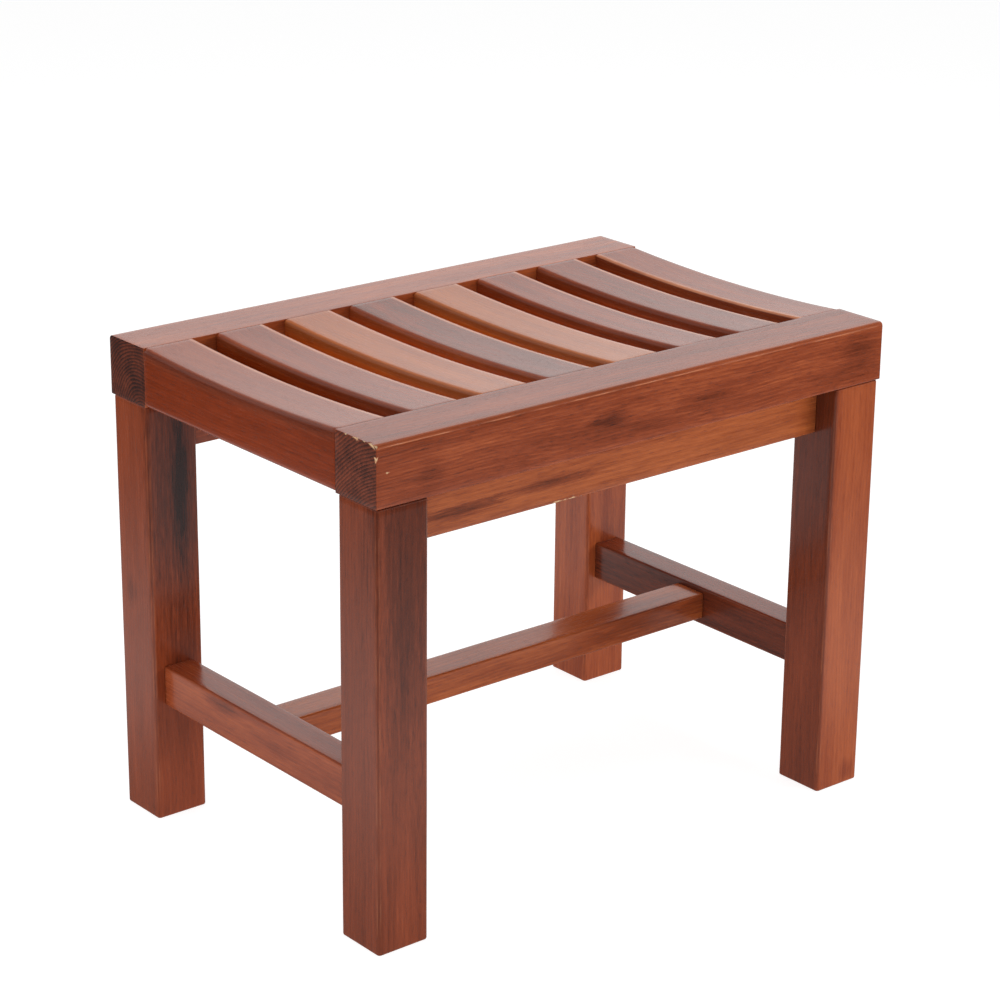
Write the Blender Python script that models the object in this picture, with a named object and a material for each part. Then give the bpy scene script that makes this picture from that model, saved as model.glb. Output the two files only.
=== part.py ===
"""A slatted shower stool of stained hardwood, standing on the floor.

Two full-length rails carry a row of dished seat slats between them. A square leg is dowelled up into
each end of each rail, an apron under each rail ties its two legs together, and an H of stretchers
braces the legs near the floor. Every joint is hidden: stub tenons for the slats and the stretchers,
round dowels for the legs and the aprons.

Frame: +X along the stool, +Y to the rear, +Z up, origin on the floor under the middle of the seat.
Lengths are in metres.
"""

from math import pi, sqrt

import bmesh
import bpy
from mathutils import Matrix, Vector

# Overall size
STOOL_LENGTH = 0.500  # end to end of the rails
STOOL_DEPTH = 0.340  # over the outer faces of the rails
STOOL_HEIGHT = 0.395  # floor to the top of the rails

# Fits
JOINT_GAP = 0.0003  # glue line between any two pieces that meet
HOLE_SLACK = 0.001  # spare depth at the bottom of a mortise or a dowel hole
JOINT_EASE = 0.0006  # broken edge round an end that meets another piece

# Rails
RAIL_WIDTH = 0.048
RAIL_HEIGHT = 0.0475
RAIL_OUTER_EASE = 0.0035  # radius of the long edge at the top, on the outside
RAIL_LOWER_EASE = 0.0012  # radius of the long edge below it
RAIL_INNER_EASE = 0.0008  # radius of the long edges beside the slats
RAIL_END_EASE = 0.002

# Seat slats
END_SLAT_WIDTH = 0.0455
END_SLAT_SPACE = 0.0205  # drain gap beside each end slat
SLAT_WIDTHS = (0.045, 0.046, 0.0465, 0.0465, 0.043, 0.0455)  # sawn and fitted by hand, left to right
SLAT_SHIFTS = (0.0, 0.0, -0.001, -0.0005, -0.001, 0.0)  # how far each sits from an even spacing
SLAT_THICKNESS = 0.026
SLAT_DISH = 0.0045  # how far the tops are hollowed at mid-span
SLAT_SOFT_EASE = 0.004  # radius of the long edges on the side that is rounded well over
SLAT_CRISP_EASE = 0.0025  # radius of the other long edges
DISH_STEPS = 12  # flats that the hollowed top is made of
SLAT_TENON_LENGTH = 0.018
SLAT_TENON_THICKNESS = 0.010
SLAT_TENON_SHOULDER = 0.006  # how far the tenon stands in from each side of its slat

# Legs
LEG_SECTION = 0.046
LEG_END_INSET = 0.001  # from the rail's end to the leg's end face
LEG_FACE_INSET = 0.001  # from the rail's outer face to the leg's outer face
LEG_EASE = 0.003
LEG_END_EASE = 0.0015
LEG_DOWEL_RADIUS = 0.005
LEG_DOWEL_LENGTH = 0.040
LEG_DOWEL_SPACING = 0.022
LEG_DOWEL_SETBACK = 0.0145  # from the leg's outer face to its dowels

# Aprons
APRON_HEIGHT = 0.041
APRON_THICKNESS = 0.020
APRON_SETBACK = 0.0215  # from the legs' outer faces to the apron's outer face
APRON_EASE = 0.002
APRON_DOWEL_RADIUS = 0.004
APRON_DOWEL_LENGTH = 0.032
APRON_DOWEL_SPACING = 0.020

# Stretchers
SIDE_STRETCHER_WIDTH = 0.027
SIDE_STRETCHER_HEIGHT = 0.0335
SIDE_STRETCHER_CENTRE = 0.114  # height of its middle above the floor
SIDE_TENON_LENGTH = 0.018
CENTRE_STRETCHER_WIDTH = 0.033
CENTRE_STRETCHER_HEIGHT = 0.023
CENTRE_STRETCHER_RISE = 0.001  # its middle above the side stretchers' middle
CENTRE_TENON_LENGTH = 0.012
STRETCHER_EASE = 0.002
STRETCHER_TENON_SHOULDER = 0.006  # how far a stretcher's tenon stands in on all four sides

# Smoothness of rounded shapes
EASE_SEGMENTS = 3
DOWEL_SIDES = 24
DOWEL_CHAMFER = 0.001
CORNER_ANGLE = pi / 4  # faces that meet at more than this make a corner, not a curve
ALONG = 0.9  # an edge runs along an axis when the cosine between them is over this

# Finishes: linear colour and roughness
SEAT_FINISH = ((0.250, 0.075, 0.035), 0.35)
FRAME_FINISH = ((0.210, 0.060, 0.030), 0.40)
DOWEL_FINISH = ((0.560, 0.390, 0.220), 0.60)

# Places that several pieces share
RAIL_BOTTOM = STOOL_HEIGHT - RAIL_HEIGHT
RAIL_CENTRE_Y = (STOOL_DEPTH - RAIL_WIDTH) / 2
RAIL_INNER_Y = STOOL_DEPTH / 2 - RAIL_WIDTH
LEG_TOP = RAIL_BOTTOM - JOINT_GAP
LEG_CENTRE_X = STOOL_LENGTH / 2 - LEG_END_INSET - LEG_SECTION / 2
LEG_CENTRE_Y = STOOL_DEPTH / 2 - LEG_FACE_INSET - LEG_SECTION / 2
LEG_INNER_X = LEG_CENTRE_X - LEG_SECTION / 2
LEG_INNER_Y = LEG_CENTRE_Y - LEG_SECTION / 2
LEG_DOWEL_Y = LEG_CENTRE_Y + LEG_SECTION / 2 - LEG_DOWEL_SETBACK
APRON_CENTRE_Y = LEG_CENTRE_Y + LEG_SECTION / 2 - APRON_SETBACK - APRON_THICKNESS / 2
APRON_CENTRE_Z = LEG_TOP - APRON_HEIGHT / 2
SLAT_TENON_Z = STOOL_HEIGHT - (SLAT_THICKNESS + SLAT_DISH) / 2

LEFT, RIGHT = -1, 1
FRONT, REAR = -1, 1
END_NAMES = {LEFT: "left", RIGHT: "right"}
SIDE_NAMES = {FRONT: "front", REAR: "rear"}


# Building blocks


def material(name, finish):
    colour, roughness = finish
    made = bpy.data.materials.new(name)
    made.use_nodes = True
    made.diffuse_color = (*colour, 1.0)
    shader = made.node_tree.nodes["Principled BSDF"]
    shader.inputs["Base Color"].default_value = (*colour, 1.0)
    shader.inputs["Roughness"].default_value = roughness
    shader.inputs["Metallic"].default_value = 0.0
    return made


def place(name, bm, parent, location):
    """Make an object of a bmesh, placed in its parent's frame."""
    mesh = bpy.data.meshes.new(name)
    bm.to_mesh(mesh)
    bm.free()
    thing = bpy.data.objects.new(name, mesh)
    bpy.context.scene.collection.objects.link(thing)
    thing.parent = parent
    thing.location = location
    return thing


def add_box(bm, centre, size):
    """Add a box to a bmesh and return its vertices."""
    at = Matrix.Translation(centre) @ Matrix.Diagonal((*size, 1.0))
    return bmesh.ops.create_cube(bm, size=1.0, matrix=at)["verts"]


def edges_along(bm, axis):
    """The edges that run along one axis: 0 for X, 1 for Y, 2 for Z."""
    found = []
    for edge in bm.edges:
        way = (edge.verts[1].co - edge.verts[0].co).normalized()
        if abs(way[axis]) > ALONG:
            found.append(edge)
    return found


def corner_edges(bm):
    return [edge for edge in bm.edges if edge.calc_face_angle(0.0) > CORNER_ANGLE]


def ease(bm, edges, radius, segments=EASE_SEGMENTS):
    """Round the given edges over."""
    bmesh.ops.bevel(
        bm,
        geom=edges,
        offset=radius,
        offset_type="OFFSET",
        segments=segments,
        profile=0.5,
        affect="EDGES",
        clamp_overlap=True,
        material=-1,
    )


def eased_bar(size, axis, radius, end_radius):
    """A bar that runs along an axis, with its long edges and the edges round its ends rounded over."""
    bm = bmesh.new()
    add_box(bm, (0, 0, 0), size)
    ease(bm, edges_along(bm, axis), radius)
    ease(bm, corner_edges(bm), end_radius)
    return bm


def tool(name, boxes, holes, piece):
    """A hidden solid in a piece's frame, made of boxes and round holes, that a Boolean works with.

    A box is (centre, size). A hole is (mouth, direction, radius, depth), and starts outside its mouth.
    """
    bm = bmesh.new()
    for centre, size in boxes:
        add_box(bm, centre, size)
    for mouth, direction, radius, depth in holes:
        length = depth + HOLE_SLACK
        turn = Vector(direction).to_track_quat("Z", "Y").to_matrix().to_4x4()
        middle = Vector(mouth) + Vector(direction) * (depth - HOLE_SLACK) / 2
        bmesh.ops.create_cone(
            bm,
            cap_ends=True,
            segments=DOWEL_SIDES,
            radius1=radius,
            radius2=radius,
            depth=length,
            matrix=Matrix.Translation(middle) @ turn,
        )
    made = place(name, bm, piece, (0, 0, 0))
    made.hide_render = True
    made.display_type = "WIRE"
    return made


def boolean(piece, other, operation, solver="EXACT"):
    step = piece.modifiers.new(other.name, "BOOLEAN")
    step.operation = operation
    step.solver = solver
    step.object = other


def finish_piece(piece, finish):
    piece.data.materials.append(material(piece.name + "_finish", finish))
    piece.data.shade_smooth()
    piece.data.set_sharp_from_angle(angle=CORNER_ANGLE)


def mortise(mouth, direction, across, depth):
    """The box of a mortise: its mouth's centre, the way it goes in, its section and its depth."""
    way = Vector(direction)
    size = Vector(across) + Vector((2 * JOINT_GAP,) * 3)
    for axis in range(3):
        if way[axis]:
            size[axis] = depth + 2 * HOLE_SLACK
    return Vector(mouth) + way * depth / 2, size


# Seat


def slat_layout():
    """Name, place along X, width and height of every seat slat, left to right."""
    end_x = (STOOL_LENGTH - END_SLAT_WIDTH) / 2
    inside = STOOL_LENGTH / 2 - END_SLAT_WIDTH - END_SLAT_SPACE
    first = -inside + SLAT_WIDTHS[0] / 2
    last = inside - SLAT_WIDTHS[-1] / 2
    pitch = (last - first) / (len(SLAT_WIDTHS) - 1)
    slats = [("end_slat_left", -end_x, END_SLAT_WIDTH, RAIL_HEIGHT)]
    for index, (width, shift) in enumerate(zip(SLAT_WIDTHS, SLAT_SHIFTS)):
        slats.append((f"seat_slat_{index + 1}", first + index * pitch + shift, width, SLAT_THICKNESS))
    slats.append(("end_slat_right", end_x, END_SLAT_WIDTH, RAIL_HEIGHT))
    return slats


def dish_drop(y, half_span):
    """How far below the rails a slat's top lies: an arc that is level with them at both ends."""
    radius = (half_span**2 + SLAT_DISH**2) / (2 * SLAT_DISH)
    return sqrt(radius**2 - y**2) - (radius - SLAT_DISH)


def build_slat(name, centre_x, width, height, stool):
    half_span = RAIL_INNER_Y - JOINT_GAP
    bm = bmesh.new()
    add_box(bm, (0, 0, 0), (width, 2 * half_span, height))
    bmesh.ops.subdivide_edges(bm, edges=edges_along(bm, 1), cuts=DISH_STEPS - 1, use_grid_fill=True)
    for vert in bm.verts:
        if vert.co.z > 0:
            vert.co.z -= dish_drop(vert.co.y, half_span)
    soft_side = 1 if name == "end_slat_right" else -1
    for way, radius in ((soft_side, SLAT_SOFT_EASE), (-soft_side, SLAT_CRISP_EASE)):
        ease(bm, [edge for edge in edges_along(bm, 1) if edge.verts[0].co.x * way > 0], radius)
    ease(bm, corner_edges(bm), JOINT_EASE, segments=1)
    slat = place(name, bm, stool, (centre_x, 0, STOOL_HEIGHT - height / 2))

    tenon_z = SLAT_TENON_Z - slat.location.z
    size = (width - 2 * SLAT_TENON_SHOULDER, 2 * (RAIL_INNER_Y + SLAT_TENON_LENGTH), SLAT_TENON_THICKNESS)
    boolean(slat, tool(name + "_tenons", [((0, 0, tenon_z), size)], [], slat), "UNION")
    finish_piece(slat, SEAT_FINISH)


def build_rail(side, stool):
    name = "rail_" + SIDE_NAMES[side]
    bm = bmesh.new()
    add_box(bm, (0, 0, 0), (STOOL_LENGTH, RAIL_WIDTH, RAIL_HEIGHT))
    outside = ((side, 1, RAIL_OUTER_EASE), (side, -1, RAIL_LOWER_EASE))
    inside = ((-side, 1, RAIL_INNER_EASE), (-side, -1, RAIL_INNER_EASE))
    for way, up, radius in (*outside, *inside):
        spots = [(edge, edge.verts[0].co) for edge in edges_along(bm, 0)]
        ease(bm, [edge for edge, spot in spots if spot.y * way > 0 and spot.z * up > 0], radius)
    ease(bm, corner_edges(bm), RAIL_END_EASE)
    rail = place(name, bm, stool, (0, side * RAIL_CENTRE_Y, STOOL_HEIGHT - RAIL_HEIGHT / 2))

    mortises = []
    for _, centre_x, width, _ in slat_layout():
        mouth = (centre_x, -side * RAIL_WIDTH / 2, SLAT_TENON_Z - rail.location.z)
        across = (width - 2 * SLAT_TENON_SHOULDER, 0, SLAT_TENON_THICKNESS)
        mortises.append(mortise(mouth, (0, side, 0), across, SLAT_TENON_LENGTH))
    holes = []
    for x in leg_dowel_places():
        mouth = (x, side * LEG_DOWEL_Y - rail.location.y, -RAIL_HEIGHT / 2)
        holes.append((mouth, (0, 0, 1), LEG_DOWEL_RADIUS + JOINT_GAP, LEG_DOWEL_LENGTH / 2 + HOLE_SLACK))
    # The exact solver turns a rail inside out at some heights
    boolean(rail, tool(name + "_mortises", mortises, holes, rail), "DIFFERENCE", solver="MANIFOLD")
    finish_piece(rail, SEAT_FINISH)


# Legs and aprons


def leg_dowel_places():
    """Where the leg dowels stand along X, left to right."""
    half = LEG_DOWEL_SPACING / 2
    return [end * LEG_CENTRE_X + step for end in (LEFT, RIGHT) for step in (-half, half)]


def build_leg(end, side, stool):
    name = f"leg_{SIDE_NAMES[side]}_{END_NAMES[end]}"
    bm = eased_bar((LEG_SECTION, LEG_SECTION, LEG_TOP), 2, LEG_EASE, LEG_END_EASE)
    leg = place(name, bm, stool, (end * LEG_CENTRE_X, side * LEG_CENTRE_Y, LEG_TOP / 2))

    holes = []
    for step in (-LEG_DOWEL_SPACING / 2, LEG_DOWEL_SPACING / 2):
        mouth = (step, side * (LEG_DOWEL_Y - LEG_CENTRE_Y), LEG_TOP / 2)
        holes.append((mouth, (0, 0, -1), LEG_DOWEL_RADIUS + JOINT_GAP, LEG_DOWEL_LENGTH / 2 + HOLE_SLACK))
    for step in (-APRON_DOWEL_SPACING / 2, APRON_DOWEL_SPACING / 2):
        apron_y = side * (APRON_CENTRE_Y - LEG_CENTRE_Y)
        mouth = (-end * LEG_SECTION / 2, apron_y, APRON_CENTRE_Z + step - leg.location.z)
        depth = APRON_DOWEL_LENGTH / 2 + HOLE_SLACK
        holes.append((mouth, (end, 0, 0), APRON_DOWEL_RADIUS + JOINT_GAP, depth))
    mouth = (0, -side * LEG_SECTION / 2, SIDE_STRETCHER_CENTRE - leg.location.z)
    across = (
        SIDE_STRETCHER_WIDTH - 2 * STRETCHER_TENON_SHOULDER,
        0,
        SIDE_STRETCHER_HEIGHT - 2 * STRETCHER_TENON_SHOULDER,
    )
    slot = mortise(mouth, (0, side, 0), across, SIDE_TENON_LENGTH)
    boolean(leg, tool(name + "_joints", [slot], holes, leg), "DIFFERENCE")
    finish_piece(leg, FRAME_FINISH)


def build_apron(side, stool):
    name = "apron_" + SIDE_NAMES[side]
    length = 2 * (LEG_INNER_X - JOINT_GAP)
    bm = eased_bar((length, APRON_THICKNESS, APRON_HEIGHT), 0, APRON_EASE, JOINT_EASE)
    apron = place(name, bm, stool, (0, side * APRON_CENTRE_Y, APRON_CENTRE_Z))

    holes = []
    for end in (LEFT, RIGHT):
        for step in (-APRON_DOWEL_SPACING / 2, APRON_DOWEL_SPACING / 2):
            mouth = (end * length / 2, 0, step)
            depth = APRON_DOWEL_LENGTH / 2 + HOLE_SLACK
            holes.append((mouth, (-end, 0, 0), APRON_DOWEL_RADIUS + JOINT_GAP, depth))
    boolean(apron, tool(name + "_holes", [], holes, apron), "DIFFERENCE")
    finish_piece(apron, FRAME_FINISH)


# Stretchers


def add_tenons(piece, size, axis, tenon_length):
    """Join a tenon to both ends of a bar: one thinner bar that runs right through it."""
    inner = [side - 2 * STRETCHER_TENON_SHOULDER for side in size]
    inner[axis] = size[axis] + 2 * (JOINT_GAP + tenon_length)
    boolean(piece, tool(piece.name + "_tenons", [((0, 0, 0), inner)], [], piece), "UNION")


def build_side_stretcher(end, stool):
    name = "side_stretcher_" + END_NAMES[end]
    size = (SIDE_STRETCHER_WIDTH, 2 * (LEG_INNER_Y - JOINT_GAP), SIDE_STRETCHER_HEIGHT)
    bm = eased_bar(size, 1, STRETCHER_EASE, JOINT_EASE)
    bar = place(name, bm, stool, (end * LEG_CENTRE_X, 0, SIDE_STRETCHER_CENTRE))
    add_tenons(bar, size, 1, SIDE_TENON_LENGTH)

    across = (
        0,
        CENTRE_STRETCHER_WIDTH - 2 * STRETCHER_TENON_SHOULDER,
        CENTRE_STRETCHER_HEIGHT - 2 * STRETCHER_TENON_SHOULDER,
    )
    mouth = (-end * SIDE_STRETCHER_WIDTH / 2, 0, CENTRE_STRETCHER_RISE)
    slot = mortise(mouth, (end, 0, 0), across, CENTRE_TENON_LENGTH)
    boolean(bar, tool(name + "_mortise", [slot], [], bar), "DIFFERENCE")
    finish_piece(bar, FRAME_FINISH)


def build_centre_stretcher(stool):
    half_length = LEG_CENTRE_X - SIDE_STRETCHER_WIDTH / 2 - JOINT_GAP
    size = (2 * half_length, CENTRE_STRETCHER_WIDTH, CENTRE_STRETCHER_HEIGHT)
    centre = (0, 0, SIDE_STRETCHER_CENTRE + CENTRE_STRETCHER_RISE)
    bar = place("centre_stretcher", eased_bar(size, 0, STRETCHER_EASE, JOINT_EASE), stool, centre)
    add_tenons(bar, size, 0, CENTRE_TENON_LENGTH)
    finish_piece(bar, FRAME_FINISH)


# Dowels


def build_dowel(name, centre, axis, radius, length, stool):
    bm = bmesh.new()
    bmesh.ops.create_cone(
        bm, cap_ends=True, segments=DOWEL_SIDES, radius1=radius, radius2=radius, depth=length
    )
    ease(bm, corner_edges(bm), DOWEL_CHAMFER, segments=1)
    dowel = place(name, bm, stool, centre)
    dowel.rotation_euler = Vector(axis).to_track_quat("Z", "Y").to_euler()
    finish_piece(dowel, DOWEL_FINISH)


def build_dowels(stool):
    for end, end_name in END_NAMES.items():
        for side, side_name in SIDE_NAMES.items():
            corner = f"{side_name}_{end_name}"
            for step, place_name in ((-end, "inner"), (end, "outer")):
                x = end * LEG_CENTRE_X + step * LEG_DOWEL_SPACING / 2
                centre = (x, side * LEG_DOWEL_Y, RAIL_BOTTOM)
                name = f"leg_dowel_{corner}_{place_name}"
                build_dowel(name, centre, (0, 0, 1), LEG_DOWEL_RADIUS, LEG_DOWEL_LENGTH, stool)
            for step, place_name in ((-1, "lower"), (1, "upper")):
                z = APRON_CENTRE_Z + step * APRON_DOWEL_SPACING / 2
                centre = (end * LEG_INNER_X, side * APRON_CENTRE_Y, z)
                name = f"apron_dowel_{corner}_{place_name}"
                build_dowel(name, centre, (1, 0, 0), APRON_DOWEL_RADIUS, APRON_DOWEL_LENGTH, stool)


def main():
    for old in list(bpy.data.objects):
        bpy.data.objects.remove(old, do_unlink=True)

    stool = bpy.data.objects.new("shower_stool", None)
    bpy.context.scene.collection.objects.link(stool)

    for side in (FRONT, REAR):
        build_rail(side, stool)
        build_apron(side, stool)
        for end in (LEFT, RIGHT):
            build_leg(end, side, stool)
    for name, centre_x, width, height in slat_layout():
        build_slat(name, centre_x, width, height, stool)
    for end in (LEFT, RIGHT):
        build_side_stretcher(end, stool)
    build_centre_stretcher(stool)
    build_dowels(stool)


main()
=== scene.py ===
"""A slatted shower stool of stained hardwood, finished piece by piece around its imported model.

Two long rails carry a row of dished slats on square legs, with set-back aprons and an H of
stretchers. Every visible piece is modelled again with finely rounded arrises and hand-sanded faces,
and has its own solid wood figure: growth rings round a pith line that runs along the board.

Frame: +X along the stool, +Y to the rear, +Z up, origin on the floor under the middle of the seat.
Lengths are in metres.
"""

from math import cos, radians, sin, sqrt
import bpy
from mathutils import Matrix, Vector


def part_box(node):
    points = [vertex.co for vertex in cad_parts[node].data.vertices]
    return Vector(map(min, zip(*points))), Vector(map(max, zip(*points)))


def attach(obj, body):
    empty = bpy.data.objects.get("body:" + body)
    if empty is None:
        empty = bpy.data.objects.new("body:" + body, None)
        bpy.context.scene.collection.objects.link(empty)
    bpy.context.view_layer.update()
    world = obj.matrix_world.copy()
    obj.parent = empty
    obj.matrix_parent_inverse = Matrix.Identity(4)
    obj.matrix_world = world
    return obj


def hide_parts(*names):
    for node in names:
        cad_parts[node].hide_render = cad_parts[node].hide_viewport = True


bl_info = {
    "name": "Slatted shower stool",
    "version": (1, 0, 0),
    "blender": (4, 5, 0),
    "location": "View3D > Sidebar > Stool",
    "description": "Models and finishes a slatted hardwood shower stool, piece by piece",
    "category": "Add Mesh",
}

import bmesh
import bpy
from bpy.props import FloatProperty, FloatVectorProperty, IntProperty, PointerProperty
from mathutils import Matrix, Vector, noise

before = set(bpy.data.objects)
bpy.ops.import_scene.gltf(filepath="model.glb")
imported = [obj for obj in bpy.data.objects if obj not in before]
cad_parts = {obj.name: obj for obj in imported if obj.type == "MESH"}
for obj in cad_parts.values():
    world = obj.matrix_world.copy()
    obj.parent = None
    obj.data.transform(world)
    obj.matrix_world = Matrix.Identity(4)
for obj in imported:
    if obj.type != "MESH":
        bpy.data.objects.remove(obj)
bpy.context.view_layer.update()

ENDS = ("left", "right")
SIDES = ("front", "rear")
RAILS = tuple(f"rail_{side}" for side in SIDES)
SLATS = ("end_slat_left", *(f"seat_slat_{n}" for n in range(1, 7)), "end_slat_right")
BODY = "root"


# Sizes and colours that a user would change


class StoolSizes(bpy.types.PropertyGroup):
    rail_outer_ease: FloatProperty(
        name="Rail outer ease", description="Radius of the rails' long edges at the top, on the outside",
        default=0.0035, min=0.0005, unit="LENGTH",
    )
    rail_lower_ease: FloatProperty(
        name="Rail lower ease", description="Radius of the rails' long edges below those",
        default=0.0012, min=0.0002, unit="LENGTH",
    )
    rail_inner_ease: FloatProperty(
        name="Rail inner ease", description="Radius of the rails' long edges beside the slats",
        default=0.0003, min=0.0002, unit="LENGTH",
    )
    rail_end_ease: FloatProperty(
        name="Rail end ease", description="Radius round the rails' end grain",
        default=0.0015, min=0.0002, unit="LENGTH",
    )
    slat_soft_ease: FloatProperty(
        name="Slat soft ease", description="Radius of the slats' edges that are rounded well over",
        default=0.0040, min=0.0005, unit="LENGTH",
    )
    slat_crisp_ease: FloatProperty(
        name="Slat crisp ease", description="Radius of the slats' other long edges",
        default=0.0025, min=0.0005, unit="LENGTH",
    )
    slat_dish: FloatProperty(
        name="Slat dish", description="How far the slats' tops are hollowed at mid-span",
        default=0.0045, min=0.0, unit="LENGTH",
    )
    leg_ease: FloatProperty(
        name="Leg ease", description="Radius of the legs' long edges",
        default=0.0030, min=0.0005, unit="LENGTH",
    )
    leg_end_ease: FloatProperty(
        name="Leg end ease", description="Radius round the top and the foot of a leg",
        default=0.0015, min=0.0002, unit="LENGTH",
    )
    bar_ease: FloatProperty(
        name="Bar ease", description="Radius of the aprons' and stretchers' long edges",
        default=0.0020, min=0.0005, unit="LENGTH",
    )
    joint_ease: FloatProperty(
        name="Joint ease", description="Broken edge round an end that meets another piece",
        default=0.0002, min=0.0001, unit="LENGTH",
    )
    joint_gap: FloatProperty(
        name="Joint gap", description="Glue line between two pieces that meet",
        default=0.0001, min=0.0001, unit="LENGTH",
    )
    sanding: FloatProperty(
        name="Sanding", description="How far hand sanding lets a face wander from flat",
        default=0.00022, min=0.0, unit="LENGTH",
    )
    mesh_cell: FloatProperty(
        name="Mesh cell", description="Side of the cells that a face is divided into",
        default=0.0045, min=0.002, unit="LENGTH",
    )
    ease_segments: IntProperty(
        name="Ease segments", description="Flats across each rounded edge", default=6, min=2,
    )


def colour_property(name, description, default):
    return FloatVectorProperty(
        name=name, description=description, default=default, subtype="COLOR", size=3, min=0, max=1
    )


class StoolColours(bpy.types.PropertyGroup):
    heart: colour_property("Heartwood", "Darkest streaks and stains", (0.030, 0.008, 0.006))
    latewood: colour_property("Latewood", "Dark streaks", (0.140, 0.026, 0.009))
    stained: colour_property("Stained wood", "Main colour of the finish", (0.295, 0.056, 0.0175))
    earlywood: colour_property("Earlywood", "Palest streaks", (0.560, 0.135, 0.038))
    # also the painted shade just under the slats' rims, in the gaps
    pooled_stain_and_shade: colour_property("Pooled stain", "On rounded edges", (0.085, 0.014, 0.007))
    worn: colour_property("Worn arris", "Where the stain is rubbed thin", (0.560, 0.190, 0.085))
    # painted highlight along the slats' crisp rims
    rim: colour_property("Slat rim", "Along the slats' crisp rims", (0.640, 0.240, 0.120))
    bare: colour_property("Bare wood", "Inside a chip, and the dowels", (0.760, 0.500, 0.270))
    floor: colour_property("Floor", "The studio's floor", (0.40, 0.40, 0.40))
    sheen_roughness: FloatProperty(
        name="Sheen roughness", description="Roughness of the sealed wood", default=0.24, min=0, max=1,
        subtype="FACTOR",
    )
    gloss: FloatProperty(
        name="Gloss", description="Weight of the last coat of lacquer", default=0.25, min=0, max=1,
        subtype="FACTOR",
    )
    gloss_roughness: FloatProperty(
        name="Gloss roughness", description="Roughness of the last coat", default=0.10, min=0, max=1,
        subtype="FACTOR",
    )


class StoolStudio(bpy.types.PropertyGroup):
    camera_aim: FloatVectorProperty(
        name="Aim", description="Point that the camera looks at", default=(0.0006, -0.0005, 0.2527),
        subtype="XYZ", unit="LENGTH", size=3,
    )
    camera_distance: FloatProperty(
        name="Distance", description="From the aim to the camera", default=2.3218, unit="LENGTH",
    )
    camera_azimuth: FloatProperty(
        name="Azimuth", description="Camera's turn from the front towards the right end",
        default=radians(-39.57), subtype="ANGLE",
    )
    camera_elevation: FloatProperty(
        name="Elevation", description="Camera's height as an angle", default=radians(19.72),
        subtype="ANGLE",
    )
    camera_roll: FloatProperty(
        name="Roll", description="Camera's tilt to the side", default=radians(0.59), subtype="ANGLE",
    )
    camera_lens: FloatProperty(
        name="Lens", description="Focal length, in millimetres, on a 36 mm sensor", default=105.18,
    )
    backdrop_light: FloatProperty(
        name="Backdrop light", description="Brightness of the white walls", default=1.0, min=0,
    )
    floor_shine: FloatProperty(
        name="Floor shine", description="Brightness of the floor behind the stool, seen in the gloss",
        default=0.60, min=0,
    )
    ceiling_shine: FloatProperty(
        name="Ceiling shine", description="Brightness of the ceiling, as a share of the walls'",
        default=0.25, min=0,
    )
    side_shade: FloatProperty(
        name="Side shade", description="Brightness of the other walls, as a share of the back wall's",
        default=0.30, min=0,
    )
    mat_radius: FloatProperty(
        name="Mat radius", description="Reach of the pale mat that shows in the gloss", default=1.30,
        min=0.5, unit="LENGTH",
    )
    mat_glow: FloatProperty(
        name="Mat glow", description="Brightness of the mat that shows in the gloss", default=0.58,
        min=0,
    )
    ceiling_light: FloatProperty(
        name="Ceiling light", description="Power of the soft light overhead, in watts", default=29.0,
        min=0,
    )
    floor_glow: FloatProperty(
        name="Floor glow", description="Light that the floor gives of its own, so that it stays white",
        default=0.86, min=0,
    )
    front_light: FloatProperty(
        name="Front light", description="Power of the soft light at the front right, in watts",
        default=16.0, min=0,
    )
    left_light: FloatProperty(
        name="Left light", description="Power of the soft light at the left, in watts",
        default=10.0, min=0,
    )


# How each piece's timber differs from the next


class Timber:
    """The board that a piece is cut from.

    tone lightens (+) or darkens (-) it, faces do the same to the sides that face along X and Y, and
    tint multiplies its colour. figure is the contrast of its streaks, slope is how far the grain
    turns from the edges, in radians, and pith is where its growth centre lies across the piece, from
    its middle. end_stain darkens its end grain, rubbed is how far the stain is worn off beside its
    arrises, and stains_and_shade are (centre, half sizes, strength): stains, except high on two
    legs under the seat, where they are painted shade.
    """

    def __init__(
        self, tone=0.0, faces=(0, 0), tint=(1, 1, 1), figure=1.0, slope=(0, 0), pith=(0.05, -0.06),
        end_stain=0.16, rubbed=0.35, stains_and_shade=(),
    ):
        self.tone = tone
        self.faces = faces
        self.tint = tint
        self.figure = figure
        self.slope = slope
        self.pith = pith
        self.end_stain = end_stain
        self.rubbed = rubbed
        self.stains_and_shade = stains_and_shade


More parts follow.
